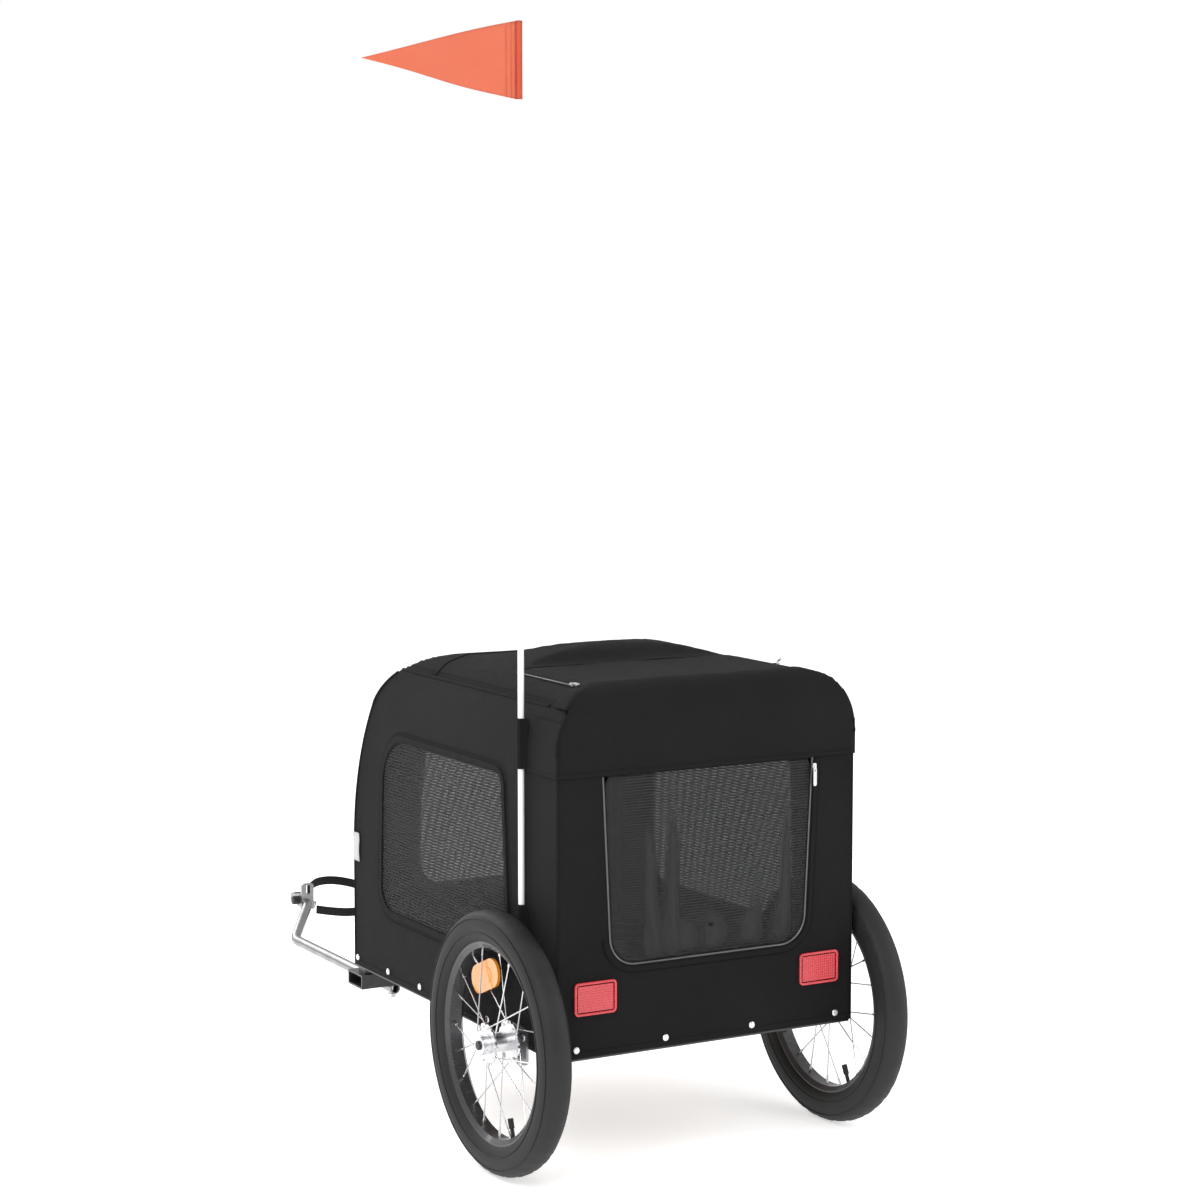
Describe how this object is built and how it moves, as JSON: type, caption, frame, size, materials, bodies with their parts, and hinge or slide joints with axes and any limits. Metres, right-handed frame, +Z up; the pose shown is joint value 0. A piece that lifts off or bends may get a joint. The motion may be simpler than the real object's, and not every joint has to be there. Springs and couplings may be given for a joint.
{
  "type": "bicycle pet trailer",
  "caption": "Two-wheeled bicycle trailer with a low black fabric cabin, mesh windows, zipped rear door, side tow arm and a tall orange safety flag.",
  "frame": {"origin": "centre of the vertical bore in the hitch tongue, where the trailer is pinned to the bicycle", "axes": "+X to the trailer's right, +Y forward in the direction of travel, +Z up"},
  "size_m": [0.844, 1.3678, 1.7039],
  "materials": {
    "fabric_black": "woven",
    "mesh_black": "open mesh",
    "frame_black": "satin",
    "galvanised": "zinc",
    "rim_black": "satin",
    "spoke_steel": "bright",
    "hub_alloy": "satin",
    "tyre_rubber": "matt",
    "tube_rubber": "matt",
    "bearing_steel": "ground",
    "reflector_red": "gloss",
    "reflector_amber": "gloss",
    "pole_white": "gloss",
    "flag_orange": "woven",
    "zip_metal": "bright",
    "screw_zinc": "bright",
    "knob_black": "matt",
    "board": "hardboard",
    "cushion_fabric": "woven",
    "webbing_black": "webbing"
  },
  "bodies": {
    "chassis": {"axle_left": "spoke_steel", "axle_right": "spoke_steel", "base_side_rail_left": "frame_black", "side_hoop_left": "frame_black", "base_side_rail_right": "frame_black", "side_hoop_right": "frame_black", "base_cross_rail_rear": "frame_black", "base_cross_rail_middle": "frame_black", "base_cross_rail_front": "frame_black", "roof_bow_rear": "frame_black", "roof_bow_middle": "frame_black", "roof_bow_front": "frame_black", "cover_screws": "screw_zinc", "axle_brackets": "galvanised", "floor_board": "board", "floor_cushion": "cushion_fabric", "side_panel_left": "fabric_black", "side_panel_right": "fabric_black", "side_windows": "mesh_black", "front_panel": "fabric_black", "front_window": "mesh_black", "rear_panel": "fabric_black", "rear_zip_track": "zip_metal", "roof_panel": "fabric_black", "rear_cap": "fabric_black", "roof_zip_tracks": "knob_black", "rear_reflectors": "reflector_red", "pole_pocket": "fabric_black", "tow_bracket": "frame_black", "tow_pivot_bolt": "screw_zinc"},
    "wheel_left": {"tyre_left": "tyre_rubber", "inner_tube_left": "tube_rubber", "rim_left": "rim_black", "spokes_left": "spoke_steel", "hub_left": "hub_alloy", "wheel_bearings_left": "bearing_steel", "wheel_reflector_left": "reflector_amber"},
    "wheel_right": {"tyre_right": "tyre_rubber", "inner_tube_right": "tube_rubber", "rim_right": "rim_black", "spokes_right": "spoke_steel", "hub_right": "hub_alloy", "wheel_bearings_right": "bearing_steel", "wheel_reflector_right": "reflector_amber"},
    "button_left": {"axle_button_left": "knob_black"},
    "button_right": {"axle_button_right": "knob_black"},
    "towing_arm": {"tow_arm": "galvanised", "hitch_clevis": "galvanised", "hitch_pin": "knob_black", "safety_strap": "webbing_black", "strap_ring": "spoke_steel"},
    "tongue": {"hitch_tongue": "galvanised"},
    "door": {"rear_door": "mesh_black"},
    "door_zip": {"rear_zip_slider": "zip_metal"},
    "hatch": {"roof_flap": "fabric_black"},
    "roof_zip_left": {"roof_zip_slider_left": "zip_metal"},
    "roof_zip_right": {"roof_zip_slider_right": "zip_metal"},
    "pole": {"flag_pole_lower": "pole_white", "flag_pole_upper": "pole_white"},
    "pennant": {"flag": "flag_orange"}
  },
  "joints": [
    {"name": "left_wheel_spin", "type": "hinge", "parent": "chassis", "child": "wheel_left", "pos_m": [-0.167, -1.15, 0.006], "axis": [1, 0, 0], "continuous": true},
    {"name": "right_wheel_spin", "type": "hinge", "parent": "chassis", "child": "wheel_right", "pos_m": [0.423, -1.15, 0.006], "axis": [1, 0, 0], "continuous": true},
    {"name": "left_axle_button", "type": "slide", "parent": "chassis", "child": "button_left", "axis": [1, 0, 0], "range_m": [0, 0.003], "stiffness_N_per_m": 600},
    {"name": "right_axle_button", "type": "slide", "parent": "chassis", "child": "button_right", "axis": [-1, 0, 0], "range_m": [0, 0.003], "stiffness_N_per_m": 600},
    {"name": "tow_arm_swing", "type": "hinge", "parent": "chassis", "child": "towing_arm", "pos_m": [-0.065, -0.558, -0.048], "axis": [0, 0, -1], "range_deg": [0, 72]},
    {"name": "hitch_tilt", "type": "hinge", "parent": "towing_arm", "child": "tongue", "pos_m": [0, -0.032, 0], "axis": [1, 0, 0], "range_deg": [-25, 25]},
    {"name": "rear_door_lift", "type": "hinge", "parent": "chassis", "child": "door", "pos_m": [0.128, -1.269, 0.4145], "axis": [-1, 0, 0], "range_deg": [0, 85]},
    {"name": "rear_zip_run", "type": "slide", "parent": "chassis", "child": "door_zip", "axis": [-0.0498, 0, -0.9988], "range_m": [0, 0.2]},
    {"name": "roof_hatch_lift", "type": "hinge", "parent": "chassis", "child": "hatch", "pos_m": [0.128, -1.0316, 0.548], "axis": [-1, 0, 0], "range_deg": [0, 100]},
    {"name": "left_roof_zip_run", "type": "slide", "parent": "chassis", "child": "roof_zip_left", "axis": [0, 1, 0], "range_m": [0, 0.165]},
    {"name": "right_roof_zip_run", "type": "slide", "parent": "chassis", "child": "roof_zip_right", "axis": [0, 1, 0], "range_m": [-0.05, 0.095]},
    {"name": "pole_lift", "type": "slide", "parent": "chassis", "child": "pole", "axis": [0, 0, 1], "range_m": [0, 0.08]},
    {"name": "flag_swivel", "type": "hinge", "parent": "pole", "child": "pennant", "pos_m": [-0.136, -1.167, 1.446], "axis": [0, 0, 1], "continuous": true}
  ]
}
